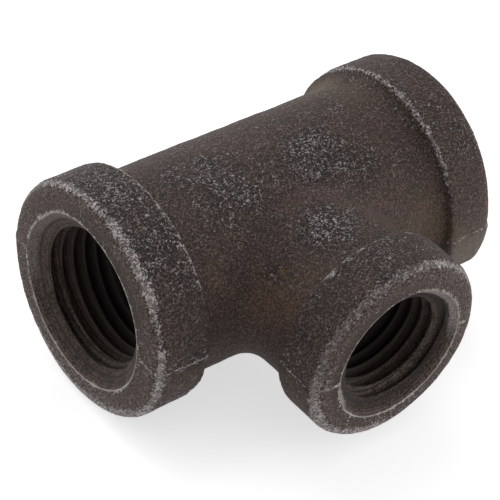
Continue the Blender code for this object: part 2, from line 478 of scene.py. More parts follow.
def roughen(blank):
    """Gives the blank its cast skin, its gate and the cove under its right band."""
    points = vectors(blank.data.vertices, "co")
    normals = vectors(blank.data.vertex_normals, "vector")
    height = skin_height(points)
    gate = gate_height(points, normals)
    fill_cove(points)
    points += normals * height[:, None]
    outward = points * (Y + Z)
    points += outward / np.linalg.norm(outward, axis=1, keepdims=True) * gate[:, None]
    blank.data.vertices.foreach_set("co", points.astype(np.float32).ravel())
    blank.data.update()


def turn_from(turn, middle):
    """Turn away from a middle, between minus and plus half a turn."""
    return np.angle(np.exp(1j * (turn - middle)))


def mouth_radius(socket, turn):
    round_mouth = socket.crest_radius - TAPER / 2 * COUNTERSINK_DEPTH + COUNTERSINK_WIDTH
    return round_mouth - socket.dent * bell(turn_from(turn, socket.dent_turn), 0.0, socket.dent_width)


def countersink_radius(socket, depth, turn):
    """The countersink in two cones: one cut last at the mouth, then a flatter one to the thread."""
    steep = mouth_radius(socket, turn) - depth * LIP_WIDTH / LIP_DEPTH
    flat_slope = (COUNTERSINK_WIDTH - LIP_WIDTH) / (COUNTERSINK_DEPTH - LIP_DEPTH)
    foot = socket.crest_radius - TAPER / 2 * COUNTERSINK_DEPTH
    flat = foot + (COUNTERSINK_DEPTH - depth) * flat_slope
    return np.where(depth < LIP_DEPTH, steep, np.minimum(flat, steep))


def thread_radius(socket, depth, turn):
    """Radius of a tapped socket at a depth below its end face and a turn about its axis."""
    countersink = countersink_radius(socket, depth, turn)
    crest = socket.crest_radius - TAPER / 2 * depth
    phase = (depth - socket.first_groove) / PITCH - turn / (2 * math.pi)
    from_groove = 2 * np.abs(phase - np.round(phase))
    flank = np.clip((from_groove - ROOT_FLAT) / (1 - ROOT_FLAT - CREST_FLAT), 0, 1)
    lead = np.clip((depth - socket.lead) / LEAD_LENGTH, 0, 1)
    fade = np.clip((socket.depth + FADE_PAST_DEPTH - depth) / FADE_LENGTH, 0, 1)
    thread = crest + THREAD_DEPTH * lead * fade * (1 - flank)
    opened = np.clip((depth - socket.depth) / RUNOUT_LENGTH, 0, 1)
    runout = crest + (socket.core_radius - CORE_STEP - crest) * opened
    return np.maximum(np.maximum(countersink, thread), runout)


def fan(loop, apex):
    """Triangles from a closed loop of points to one apex."""
    return [[a, b, apex] for a, b in zip(loop, loop[1:] + loop[:1])]


def thread_cutter(socket):
    """Closed cutter of one socket, its rows of points along the helix of its thread."""
    length = socket.depth + RUNOUT_LENGTH + CUTTER_PAST_RUNOUT - CUTTER_START
    row_count = int(length / PITCH * ROWS_PER_PITCH)
    row, column = np.meshgrid(np.arange(row_count), np.arange(THREAD_COLUMNS), indexing="ij")
    depth = CUTTER_START + PITCH * (row / ROWS_PER_PITCH + column / THREAD_COLUMNS)
    turn = 2 * math.pi * column / THREAD_COLUMNS
    radius = thread_radius(socket, depth, turn)[..., None]
    u, v, inward = socket.basis
    points = radius * np.cos(turn)[..., None] * u + radius * np.sin(turn)[..., None] * v
    points = (points + depth[..., None] * inward + socket.mouth).reshape(-1, 3)
    ends = np.array([socket.mouth + CUTTER_START * inward, socket.mouth + depth.max() * inward])
    first_apex = len(points)
    last_apex = first_apex + 1
    index = np.arange(row_count * THREAD_COLUMNS).reshape(row_count, THREAD_COLUMNS)
    wide = np.concatenate([index, np.roll(index[:, :1], -ROWS_PER_PITCH, axis=0)], axis=1)
    quads = np.stack([wide[:-1, :-1], wide[:-1, 1:], wide[1:, 1:], wide[1:, :-1]], axis=-1)
    body = quads[:, :-1].reshape(-1, 4)
    seam = quads[:row_count - 1 - ROWS_PER_PITCH, -1]
    first_loop = index[0].tolist() + index[ROWS_PER_PITCH:0:-1, 0].tolist()
    last_loop = index[-1].tolist() + index[-2:-2 - ROWS_PER_PITCH:-1, -1].tolist()
    faces = body.tolist() + seam.tolist()
    faces += [[b, a, apex] for a, b, apex in fan(first_loop, first_apex)]
    faces += fan(last_loop, last_apex)
    return new_object(socket.name, np.concatenate([points, ends]), faces)


def tap_sockets(blank, cast, machined):
    """Cuts the cored waterways, then the tapped sockets, whose faces take the machined material."""
    run_reach = RUN_END - RUN_SOCKET_DEPTH - RUNOUT_LENGTH
    branch_reach = BRANCH_END - BRANCH_SOCKET_DEPTH - RUNOUT_LENGTH
    cores = (
        turned("run_core", [(RUN_CORE, -run_reach), (RUN_CORE, run_reach)], (Y, Z, X)),
        turned("branch_core", [(BRANCH_CORE, 0.0), (BRANCH_CORE, branch_reach)], (X, Z, -Y)),
    )
    for core in cores:
        core.data.materials.append(cast)
        combine(blank, core, "DIFFERENCE")
    for socket in SOCKETS:
        cutter = thread_cutter(socket)
        cutter.data.materials.append(machined)
        combine(blank, cutter, "DIFFERENCE")


def circle_distance(along, radius, at_along, at_radius):
    """Distance of points to a circle about an axis, from their places along the axis and out from it."""
    return np.hypot(along - at_along, radius - at_radius)


def strongest_spot(points, spots):
    """The strongest of some soft round spots at each point."""
    strengths = [
        strength * bell(np.linalg.norm(points - middle, axis=1), 0.0, reach)
        for middle, reach, strength in spots]
    return np.max(strengths, axis=0)


def rim_distance(points):
    """Distance to the rubbed streaks on the rims, made longer where they are narrower; painted light from
    below widens them on the underside.
    """
    x, y, z = points.T
    back = 1 - math.cos(RUBBED_RIM_TURN)
    inset = 1 - math.sin(RUBBED_RIM_TURN)
    run_rim = circle_distance(
        np.abs(x), np.hypot(y, z),
        RUN_END - back * RUN_EDGE_RADIUS, RUN_BAND_RADIUS - inset * RUN_EDGE_RADIUS)
    branch_rim = circle_distance(
        -y, np.hypot(x, z),
        BRANCH_END - back * BRANCH_EDGE_RADIUS, BRANCH_BAND_RADIUS - inset * BRANCH_EDGE_RADIUS)
    by_branch = smooth_step(-y, *BRANCH_SIDE)
    run_rim += TOP_RIM_LESS * smooth_step(z, *TOP_RIM) * (1 - by_branch) + RIGHT_RIM_LESS * (x > 0)
    run_rim += by_branch * sum(less * bell(z, height, reach) for less, height, reach in RIM_CHANGES)
    branch_rim -= BRANCH_CORNER_MORE * smooth_step(-z, *BRANCH_CORNER) * (x < 0)
    # Wider on the underside: partly rubbed wear, partly painted light from below
    low_wear_and_light = np.where(x < 0, LOW_LEFT_WEAR_AND_LIGHT, LOW_RIGHT_WEAR_AND_LIGHT) * smooth_step(-z, *UNDERSIDE)
    return np.maximum(np.minimum(run_rim, branch_rim) - low_wear_and_light, 0)


def faint_rim(points):
    """1 on the stretch of the branch's rim where the rubbed streak is faint."""
    x, _, z = points.T
    return np.exp(-((np.arctan2(x, z) - FAINT_RIM_TURN) / FAINT_RIM_WIDTH) ** 4)


def shoulder_distance(points):
    """Distance to the worn edges of the bands' shoulders, made longer where they are narrower."""
    x, y, z = points.T
    shoulder_at = np.where(x < 0, LEFT_SHOULDER, RIGHT_SHOULDER)
    low_less = LOW_SHOULDER_LESS * smooth_step(-z, *LOW_SHOULDER)
    run_shoulder = circle_distance(
        np.abs(x), np.hypot(y, z),
        shoulder_at + RUN_SHOULDER_INSET, RUN_BAND_RADIUS - RUN_SHOULDER_INSET)
    run_shoulder += RUN_SHOULDER_LESS + low_less
    branch_shoulder = circle_distance(
        -y, np.hypot(x, z),
        BRANCH_SHOULDER + BRANCH_SHOULDER_INSET, BRANCH_BAND_RADIUS - BRANCH_SHOULDER_INSET)
    broken = BROKEN_SHOULDER * noise_at(points, BROKEN_SHOULDER_SIZE, seed=7)
    branch_shoulder += BRANCH_SHOULDER_LESS + low_less + broken
    return np.maximum(np.minimum(run_shoulder, branch_shoulder), 0)


def facing(turn, middle):
    """1 at a turn about an axis, falling smoothly to 0 on the other side."""
    return (0.5 + 0.5 * np.cos(turn - middle)) ** 2


def cut_edge(mesh):
    """True for the points where a cast face meets a machined one."""
    seen = np.zeros((2, len(mesh.vertices)), bool)
    for face in mesh.polygons:
        seen[face.material_index, list(face.vertices)] = True
    return seen[0] & seen[1]


def mouth_marks(mesh, points):
    """Distance to the mouths' edges, depth in the sockets, how pale or chipped a mouth is, its painted
    shade.
    """
    mouth = np.full(len(points), FAR_FROM_MOUTH)
    depth = np.full(len(points), OUTSIDE_DEPTH)
    lip = np.zeros(len(points))
    chip = np.zeros(len(points))
    dull = np.zeros(len(points))
    for socket in SOCKETS:
        u, v, inward = socket.basis
        local = points - socket.mouth
        below = local @ inward
        radius = np.hypot(local @ u, local @ v)
        turn = np.arctan2(local @ v, local @ u)
        edge = mouth_radius(socket, turn)
        off_edge = circle_distance(below, radius, 0.0, edge)
        near = off_edge < NEAR_MOUTH
        within = (below < socket.depth + RUNOUT_LENGTH) & (radius < edge + MOUTH_SLACK)
        pressed = facing(turn, socket.dent_turn)
        burred = bell(turn_from(turn, socket.burr_turn), 0.0, BURR_WIDTH)
        fading = 1 - smooth_step(off_edge, SHADE_START * socket.dull_reach, socket.dull_reach)
        mouth = np.minimum(mouth, off_edge)
        depth = np.where(within, below, depth)
        lip = np.where(near, np.maximum(pressed, socket.burr_lip * burred), lip)
        chip = np.where(near, np.maximum(pressed, burred), chip)
        # Painted shade on the end face beside the mouth, deepest at one turn, fading away from the edge
        dull = np.where(near, facing(turn, socket.dull_turn) * fading, dull)
    mouth[cut_edge(mesh) & (mouth < CUT_EDGE_REACH)] = 0.0
    return {"mouth": mouth, "depth": depth, "lip": lip, "chip": chip, "dull": dull}


def band_shares(points):
    """Shares of the run's and the branch's bands, 1 on them and 0 off them."""
    x, y, z = points.T
    on_run_band = smooth_step(np.hypot(y, z), *RUN_BAND_STEP) * (np.abs(x) > RUN_SECTION)
    on_branch_band = smooth_step(-y, *BRANCH_BAND_STEP)
    return on_run_band, on_branch_band


def rubbed_share(points, face, on_run_band, on_branch_band):
    """How far handling rubbed the oxide off the grain."""
    x, _, z = points.T
    exposed = np.maximum(smooth_step(z, *RUB_ABOVE), RUB_BELOW_GAIN * smooth_step(-z, *RUB_BELOW))
    exposed = LEAST_RUB + RUB_GAIN * exposed
    rubbed = np.where(x < 0, LEFT_BAND_RUB, RIGHT_BAND_RUB) * on_run_band * exposed
    rubbed = np.maximum(rubbed, BRANCH_BAND_RUB * on_branch_band * exposed)
    rubbed = np.maximum(rubbed, BARREL_RUB * exposed)
    # End faces rubbed more towards the underside: partly scuffs, partly painted light from below
    rubbed = np.maximum(rubbed, FACE_RUB * face * (1 + smooth_step(-z, *UNDERSIDE)))
    return np.maximum(rubbed, strongest_spot(points, RUBBED_SPOTS))


def oxide_share(points, rubbed, face, on_run_band, on_branch_band):
    """How black the oxide is: most where it is rubbed, and on the left and the branch's band."""
    x, _, z = points.T
    black_bands = np.maximum(on_branch_band, on_run_band * (x < 0))
    oxide = np.maximum(smooth_step(rubbed, *RUB_TO_OXIDE), black_bands)
    branch_outside = on_branch_band * (1 - face) * (np.hypot(x, z) > NECK_RADIUS)
    outside = np.maximum(on_run_band, branch_outside)
    return oxide * (1 - LOW_BAND_LOSS * outside * smooth_step(-z, *LOW_BAND))


def mark_skin(mesh):
    """Stores what the finish depends on, one value for each point of the mesh."""
    points = vectors(mesh.vertices, "co")
    run_face, branch_face = end_faces(points, *FACE_DEPTHS)
    face = np.maximum(run_face, branch_face)
    on_run_band, on_branch_band = band_shares(points)
    on_bands = np.maximum(np.maximum(on_run_band, on_branch_band), run_face)
    rubbed = rubbed_share(points, face, on_run_band, on_branch_band)
    gate = gate_height(points, points) / GATE_HEIGHT
    marks = {
        "rim": rim_distance(points),
        "faint": faint_rim(points) * on_branch_band,
        "shoulder": shoulder_distance(points),
        "seam": np.abs(below_parting(points)) + OFF_BAND_SEAM * (1 - on_bands) + GATE_SEAM * gate,
        "face": face,
        # Run faces lighter towards the bottom: partly scuffs, partly painted light from below
        "scuffed_and_lit": run_face * smooth_step(-points[:, 2], *SCUFFED_AND_LIT_FACE),
        "rubbed": rubbed,
        "oxide": oxide_share(points, rubbed, face, on_run_band, on_branch_band),
        "smooth": np.maximum(strongest_spot(points, SMOOTH_SPOTS) * (1 - on_run_band), gate),
        "gate": gate,
        "rust": strongest_spot(points, RUST_SPOTS),
    }
    marks.update(mouth_marks(mesh, points))
    for name, values in marks.items():
        layer = mesh.attributes.new(name, "FLOAT", "POINT")
        layer.data.foreach_set("value", values.astype(np.float32))


# Colour sockets of the mix node
MIX_FIRST = 6
MIX_SECOND = 7
MIX_RESULT = 2


class Shading:
    """Adds nodes to one material, with their settings and links. Functions that use it call it s."""

    def __init__(self, name):
        self.material = bpy.data.materials.new(name)
        self.material.use_nodes = True
        self.tree = self.material.node_tree
        self.shader = self.tree.nodes["Principled BSDF"]
        self.place = self.tree.nodes.new("ShaderNodeTexCoord").outputs["Object"]

    def set(self, socket, value):
        if isinstance(value, bpy.types.NodeSocket):
            self.tree.links.new(value, socket)
        else:
            socket.default_value = value

    def stretched(self, factor):
        """Places for a noise that is drawn out along the run."""
        node = self.tree.nodes.new("ShaderNodeMapping")
        self.set(node.inputs["Vector"], self.place)
        node.inputs["Scale"].default_value = (1 / factor, 1.0, 1.0)
        return node.outputs["Vector"]

    def grain(self, size, detail=2.0, roughness=0.55, distortion=0.0, place=None):
        """Noise from 0 to 1 whose features have the given size in millimetres."""
        node = self.tree.nodes.new("ShaderNodeTexNoise")
        self.set(node.inputs["Vector"], place or self.place)
        node.inputs["Scale"].default_value = 1 / (size * MM)
        node.inputs["Detail"].default_value = detail
        node.inputs["Roughness"].default_value = roughness
        node.inputs["Distortion"].default_value = distortion
        return node.outputs["Fac"]

    def rings(self, distance, size):
        """Noise along one distance in millimetres alone, as a turning tool leaves it."""
        node = self.tree.nodes.new("ShaderNodeTexNoise")
        node.noise_dimensions = "1D"
        self.set(node.inputs["W"], distance)
        node.inputs["Scale"].default_value = 1 / size
        node.inputs["Detail"].default_value = 1.0
        return node.outputs["Fac"]

    def mark(self, name):
        """What mark_skin stored under a name."""
        node = self.tree.nodes.new("ShaderNodeAttribute")
        node.attribute_name = name
        return node.outputs["Fac"]

    def math(self, operation, a, b=0.0):
        node = self.tree.nodes.new("ShaderNodeMath")
        node.operation = operation
        self.set(node.inputs[0], a)
        self.set(node.inputs[1], b)
        return node.outputs[0]

    def plus(self, a, b):
        return self.math("ADD", a, b)

    def less(self, a, b):
        return self.math("SUBTRACT", a, b)

    def times(self, a, b):
        return self.math("MULTIPLY", a, b)

    def larger(self, a, b):
        return self.math("MAXIMUM", a, b)

    def ramp(self, value, low, high, to_low=0.0, to_high=1.0):
        """Smooth step of a value between two levels."""
        node = self.tree.nodes.new("ShaderNodeMapRange")
        node.interpolation_type = "SMOOTHSTEP"
        self.set(node.inputs["Value"], value)
        self.set(node.inputs["From Min"], low)
        self.set(node.inputs["From Max"], high)
        self.set(node.inputs["To Min"], to_low)
        self.set(node.inputs["To Max"], to_high)
        return node.outputs["Result"]

    def mix(self, share, first, second):
        node = self.tree.nodes.new("ShaderNodeMix")
        node.data_type = "RGBA"
        self.set(node.inputs["Factor"], share)
        self.set(node.inputs[MIX_FIRST], first)
        self.set(node.inputs[MIX_SECOND], second)
        return node.outputs[MIX_RESULT]

    def bump(self, height, distance, before=None):
        node = self.tree.nodes.new("ShaderNodeBump")
        node.inputs["Distance"].default_value = distance * MM
        node.inputs["Strength"].default_value = 1.0
        self.set(node.inputs["Height"], height)
        if before:
            self.set(node.inputs["Normal"], before)
        return node.outputs["Normal"]


def srgb(red, green, blue):
    """A colour given as 0 to 255, as the renderer's linear values."""
    levels = [c / 255 for c in (red, green, blue)]
    linear = [c / 12.92 if c <= 0.04045 else ((c + 0.055) / 1.055) ** 2.4 for c in levels]
    return (*linear, 1.0)


# Colours of the cast skin
UMBER_OXIDE = srgb(66, 53, 48)
BROWN_OXIDE = srgb(82, 63, 55)
OLIVE_OXIDE = srgb(94, 77, 55)
BLACK_OXIDE = srgb(41, 33, 32)
FACE_IRON = srgb(92, 78, 72)
# Scuffed iron, also painted light from below, on the run faces' lower parts
SCUFFED_AND_LIT_IRON = srgb(118, 103, 98)
SMOOTH_IRON = srgb(104, 92, 78)
GROUND_IRON = srgb(118, 108, 101)
GRAIN_TOP = srgb(126, 108, 103)
GRAIN_PIT = srgb(25, 20, 19)
RUBBED_GAP = srgb(27, 21, 22)
# Painted shade on the end face beside a mouth
PAINTED_MOUTH_SHADE = srgb(50, 37, 30)
WORN_FILM = srgb(164, 155, 153)
PALE_GRAIN = srgb(190, 185, 188)
PALE_EDGE = srgb(210, 203, 203)
MOUTH_EDGE = srgb(210, 202, 199)
RUST = srgb(114, 86, 48)

# Colours of the tapped skin
DARK_CUT = srgb(48, 39, 36)
LIGHT_CUT = srgb(100, 84, 77)
RUN_CREST = srgb(92, 81, 74)
BRANCH_CREST = srgb(80, 70, 64)
WORKED_CREST = srgb(126, 111, 99)
CLEANED_CUT = srgb(126, 110, 102)
OUTER_CONE = srgb(112, 97, 89)
INNER_CONE = srgb(36, 26, 22)
CUT_GRAIN_TOP = srgb(114, 99, 93)
CUT_GRAIN_PIT = srgb(24, 20, 19)
TOOL_RING = srgb(30, 25, 23)
TOOL_SCRATCH = srgb(106, 93, 86)
PALE_LIP = srgb(188, 180, 179)
CONE_SHADE = srgb(26, 22, 21)
# Painted shade deep inside a socket
PAINTED_DEPTH_SHADE = srgb(42, 37, 35)
CUT_EDGE = srgb(190, 183, 180)

# Sizes of the noises, in millimetres
FINE_SIZE = 0.20
SPECK_SIZE = 0.32
WORM_SIZE = 0.5
FLAKE_SIZE = 0.36
LUMP_SIZE = 0.8
CLUSTER_SIZE = 2.4
OXIDE_PATCH_SIZE = 4.5
OLIVE_PATCH_SIZE = 3.2
STREAK_SIZE = 0.3
STREAK_STRETCH = 3.0
RUST_FLECK_SIZE = 0.5
RUST_PATCH_SIZE = 4.0
RUST_STAIN_SIZE = 0.3
CUT_PATCH_SIZE = 1.3
RING_SIZE = 0.16
SCRATCH_SIZE = 0.06

# Loss of flakes for each millimetre from an edge
RIM_SLOPE = 0.50
SHOULDER_SLOPE = 0.44
SEAM_SLOPE = 1.0
SEAM_NARROWING = 0.08
FAINT_RIM_SHARE = 0.40

# Relief of the two skins, in millimetres
LUMP_RELIEF = 0.12
GRAIN_RELIEF = 0.22
CUT_RELIEF = 0.12
RING_RELIEF = 0.04

# Depths in a socket where the first thread follows the countersink
THREAD_FROM = COUNTERSINK_DEPTH
THREAD_FULL = 1.7
BURR_FADE = 0.1


def fine_grain(s):
    return s.grain(FINE_SIZE, 3.0, 0.65)


def specks(s):
    return s.grain(SPECK_SIZE, 3.0, 0.6, 1.2)


def clusters(s):
    return s.grain(CLUSTER_SIZE, 3.0, 0.65)


def mouth_burr(s, broken, width):
    """Ragged pale edge of a mouth, as wide as the burr there."""
    off_edge = s.less(s.mark("mouth"), broken)
    return s.ramp(off_edge, width, s.less(width, BURR_FADE))


def mouth_hairline(s, clustered):
    """Bright line along the sharp edge of a mouth, lost where the mouth is pressed in."""
    line = s.ramp(s.mark("mouth"), 0.10, 0.04)
    line = s.times(line, s.ramp(clustered, 0.40, 0.60, 0.6, 1.0))
    return s.times(line, s.ramp(s.mark("lip"), 0.75, 0.40))


CastGrain = namedtuple("CastGrain", "fine mixed lumps patches clustered uneven streaks")


def cast_grain(s):
    """Noises that the wear and the colours of the cast skin share."""
    fine = fine_grain(s)
    worm = s.grain(WORM_SIZE, 2.0, 0.5, 0.6)
    ridge = s.ramp(s.math("ABSOLUTE", s.less(worm, 0.5)), 0.10, 0.0)
    mixed = s.plus(s.times(specks(s), 0.52), s.times(fine, 0.28))
    mixed = s.plus(mixed, s.times(ridge, 0.20))
    clustered = clusters(s)
    return CastGrain(
        fine, mixed, s.grain(LUMP_SIZE, 2.0), s.grain(OXIDE_PATCH_SIZE, 2.0), clustered,
        uneven=s.less(clustered, 0.5),
        streaks=s.grain(STREAK_SIZE, 2.0, 0.6, 0.0, s.stretched(STREAK_STRETCH)))


def cast_wear(s, grain):
    """Share of the oxide that flaked off along rims, shoulders and the parting line, and painted light on
    the rims' undersides.
    """
    flake = s.times(s.grain(FLAKE_SIZE, 3.0, 0.7), 0.75)
    flake = s.plus(flake, s.times(grain.fine, 0.55))
    flake = s.less(flake, s.times(grain.uneven, 0.4))
    flake = s.less(flake, 0.15)

    def worn(distance, slope):
        return s.ramp(s.less(flake, s.times(distance, slope)), 0.24, 0.32)

    rim = worn(s.mark("rim"), RIM_SLOPE)
    rim = s.times(rim, s.ramp(s.mark("faint"), 0.0, 1.0, 1.0, FAINT_RIM_SHARE))
    shoulder = worn(s.mark("shoulder"), SHOULDER_SLOPE)
    seam = worn(s.plus(s.mark("seam"), SEAM_NARROWING), SEAM_SLOPE)
    return s.larger(s.larger(rim, shoulder), seam)


def grain_strength(s, grain, rubbed, wear):
    """How strongly the sand's grain shows."""
    worked_face = s.times(s.mark("face"), s.ramp(grain.patches, 0.4, 0.6, 0.3, 0.9))
    rough = s.larger(s.larger(rubbed, wear), worked_face)
    smoothed = s.times(s.mark("smooth"), 0.30)
    return s.less(s.ramp(rough, 0.0, 1.0, 0.58, 1.0), smoothed)


def cast_base(s, grain):
    """Oxide in patches, with the barer end faces, the smooth skin and the ground gate."""
    base = s.mix(s.ramp(grain.patches, 0.40, 0.62), UMBER_OXIDE, BROWN_OXIDE)
    olive = s.ramp(s.grain(OLIVE_PATCH_SIZE, 4.0, 0.65), 0.52, 0.68, 0.0, 0.45)
    base = s.mix(olive, base, OLIVE_OXIDE)
    base = s.mix(s.times(s.mark("oxide"), 0.75), base, BLACK_OXIDE)
    base = s.mix(s.times(s.mark("face"), 0.85), base, FACE_IRON)
    # Run faces lighter towards the bottom: partly scuffs, partly painted light from below
    base = s.mix(s.times(s.mark("scuffed_and_lit"), 0.7), base, SCUFFED_AND_LIT_IRON)
    base = s.mix(s.times(s.mark("smooth"), 0.8), base, SMOOTH_IRON)
    ground = s.times(s.mark("gate"), s.ramp(grain.streaks, 0.40, 0.60, 0.2, 0.8))
    return s.mix(ground, base, GROUND_IRON)


def grained(s, base, grain, strength, rubbed, wear):
    """The base with its grain's tops and pits, painted shade beside the mouths and the film on worn edges.
    """
    base = s.mix(s.times(strength, s.ramp(grain.fine, 0.49, 0.61)), base, GRAIN_TOP)
    base = s.mix(s.times(strength, s.ramp(grain.fine, 0.51, 0.39)), base, GRAIN_PIT)
    gaps = s.times(rubbed, s.ramp(grain.mixed, 0.56, 0.44))
    gaps = s.times(gaps, s.ramp(s.mark("face"), 0.0, 1.0, 0.95, 0.45))
    base = s.mix(gaps, base, RUBBED_GAP)
    # Painted shade on the end faces beside the mouths
    base = s.mix(s.times(s.mark("dull"), 0.9), base, PAINTED_MOUTH_SHADE)
    film = s.times(wear, s.ramp(grain.mixed, 0.40, 0.54, 0.35, 1.0))
    return s.mix(film, base, WORN_FILM)


def pale_share(s, grain, rubbed, wear):
    """Grain rubbed down to pale iron, and dashes along the parting line."""
    lift = s.plus(s.times(rubbed, 0.085), s.times(wear, 0.085))
    threshold = s.less(0.62, lift)
    pale = s.ramp(grain.mixed, threshold, s.plus(threshold, 0.10))
    pale = s.times(pale, s.ramp(s.larger(rubbed, wear), 0.0, 0.8, 0.35, 0.92))
    dashes = s.ramp(grain.streaks, 0.60, 0.72, 0.0, 0.6)
    dashes = s.times(dashes, s.ramp(s.mark("gate"), 0.0, 0.1, 1.0, 0.0))
    dashes = s.times(dashes, s.ramp(s.mark("seam"), 4.5, 2.0))
    return s.larger(pale, dashes)


def cast_mouth_edge(s, grain):
    """Burr and hairline on the end face's side of a mouth's edge."""
    broken = s.times(s.less(grain.mixed, 0.5), 1.1)
    chipped = s.ramp(s.mark("chip"), 0.70, 1.0, 0.0, 0.12)
    width = s.plus(s.ramp(grain.clustered, 0.45, 0.65, 0.10, 0.28), chipped)
    edge = mouth_burr(s, broken, width)
    edge = s.times(edge, s.ramp(grain.mixed, 0.36, 0.50, 0.45, 1.0))
    edge = s.times(edge, s.ramp(s.mark("oxide"), 0.6, 1.0, 0.8, 0.65))
    edge = s.times(edge, s.ramp(grain.lumps, 0.30, 0.50, 0.5, 0.95))
    return s.larger(edge, mouth_hairline(s, grain.clustered))


def rust_share(s):
    """Small flecks of rust here and there, and the stained places."""
    patch = s.ramp(s.grain(RUST_PATCH_SIZE), 0.5, 0.7)
    flecks = s.ramp(s.times(s.grain(RUST_FLECK_SIZE), patch), 0.64, 0.72)
    stained = s.mark("rust")
    stain = s.times(stained, s.ramp(s.grain(RUST_STAIN_SIZE, 3.0, 0.75), 0.46, 0.62))
    stain = s.larger(stain, s.ramp(stained, 0.6, 0.8))
    return s.larger(flecks, stain)


def cast_skin():
    """Dark oxide on sand-cast iron, rubbed pale on its grain and edges."""
    s = Shading("cast_iron_skin")
    grain = cast_grain(s)
    wear = cast_wear(s, grain)
    rubbed = s.ramp(s.plus(s.mark("rubbed"), grain.uneven), 0.0, 1.0)
    strength = grain_strength(s, grain, rubbed, wear)
    pale = pale_share(s, grain, rubbed, wear)
    colour = grained(s, cast_base(s, grain), grain, strength, rubbed, wear)
    colour = s.mix(pale, colour, s.mix(wear, PALE_GRAIN, PALE_EDGE))
    colour = s.mix(cast_mouth_edge(s, grain), colour, MOUTH_EDGE)
    colour = s.mix(rust_share(s), colour, RUST)
    s.set(s.shader.inputs["Base Color"], colour)
    s.set(s.shader.inputs["Roughness"], s.ramp(pale, 0.0, 1.0, 0.70, 0.52))
    s.shader.inputs["Specular IOR Level"].default_value = 0.25
    relief = s.times(grain.mixed, strength)
    s.set(s.shader.inputs["Normal"], s.bump(relief, GRAIN_RELIEF, s.bump(grain.lumps, LUMP_RELIEF)))
    return s.material


CutGrain = namedtuple("CutGrain", "fine speck patches rings scratches depth lip on_branch jagged")


def cut_grain(s):
    """Noises and places that the colours of the tapped skin share."""
    depth = s.mark("depth")
    lip = s.mark("lip")
    speck = specks(s)
    jagged = s.plus(depth, s.times(s.less(speck, 0.5), 0.5))
    jagged = s.plus(jagged, s.ramp(lip, 0.3, 0.8, 0.06, 0.0))
    return CutGrain(
        fine_grain(s), speck, s.grain(CUT_PATCH_SIZE, 4.0, 0.65),
        s.rings(depth, RING_SIZE), s.rings(depth, SCRATCH_SIZE), depth, lip,
        s.ramp(s.mark("oxide"), 0.6, 1.0), jagged)


def cut_base(s, cut):
    """Cut iron in the countersink and on the thread's crests."""
    worked = s.ramp(cut.patches, 0.38, 0.60)
    base = s.mix(worked, DARK_CUT, LIGHT_CUT)
    first = s.times(cut.on_branch, s.ramp(cut.depth, 3.2, 2.4))
    crest = s.mix(cut.on_branch, RUN_CREST, BRANCH_CREST)
    crest = s.mix(s.times(first, worked), crest, WORKED_CREST)
    base = s.mix(s.ramp(cut.depth, THREAD_FROM, THREAD_FULL, 0.0, 0.6), base, crest)
    cleaned = s.ramp(cut.lip, 0.35, 0.9, 0.0, 0.35)
    cleaned = s.times(cleaned, s.ramp(cut.on_branch, 0.0, 1.0, 1.0, 0.0))
    base = s.mix(cleaned, base, CLEANED_CUT)
    outer_cone = s.times(cut.on_branch, s.ramp(cut.jagged, 0.70, 0.60, 0.0, 0.45))
    return s.mix(outer_cone, base, OUTER_CONE)


def inner_cone(s, cut):
    """Share of the branch's inner cone, which kept its brown skin."""
    cone = s.times(s.ramp(cut.jagged, 0.60, 0.70), s.ramp(cut.depth, THREAD_FULL, THREAD_FROM))
    return s.times(cut.on_branch, cone)


def tool_marked(s, base, cut, rough):
    """The base with its grain, and the rings and scratches that the tap left."""
    base = s.mix(s.times(rough, s.ramp(cut.fine, 0.49, 0.63)), base, CUT_GRAIN_TOP)
    base = s.mix(s.times(rough, s.ramp(cut.fine, 0.51, 0.37)), base, CUT_GRAIN_PIT)
    base = s.mix(s.ramp(cut.rings, 0.53, 0.39, 0.0, 0.7), base, TOOL_RING)
    scratched = s.ramp(cut.scratches, 0.56, 0.66, 0.0, 0.4)
    scratched = s.times(scratched, s.ramp(cut.depth, THREAD_FULL, THREAD_FROM))
    scratched = s.times(scratched, s.ramp(cut.on_branch, 0.0, 1.0, 1.0, 0.4))
    return s.mix(scratched, base, TOOL_SCRATCH)


def pale_lip(s, cut):
    """Share of the bright outer cone where a mouth is pressed in or burred."""
    lip = s.times(s.ramp(cut.lip, 0.40, 0.75), s.ramp(cut.on_branch, 0.0, 1.0, 0.4, 1.0))
    lip = s.times(lip, s.ramp(cut.jagged, 0.74, 0.60))
    lip = s.times(lip, s.ramp(cut.fine, 0.38, 0.60, 0.5, 1.0))
    return s.times(lip, s.ramp(cut.scratches, 0.35, 0.65, 0.4, 0.95))


def cut_mouth_edge(s, cut):
    """Burr and hairline on the countersink's side of a mouth's edge."""
    clustered = clusters(s)
    broken = s.times(s.less(cut.speck, 0.5), 0.7)
    edge = mouth_burr(s, broken, s.ramp(clustered, 0.50, 0.70, 0.08, 0.25))
    edge = s.times(edge, s.ramp(cut.patches, 0.35, 0.55, 0.3, 0.9))
    return s.larger(edge, mouth_hairline(s, clustered))


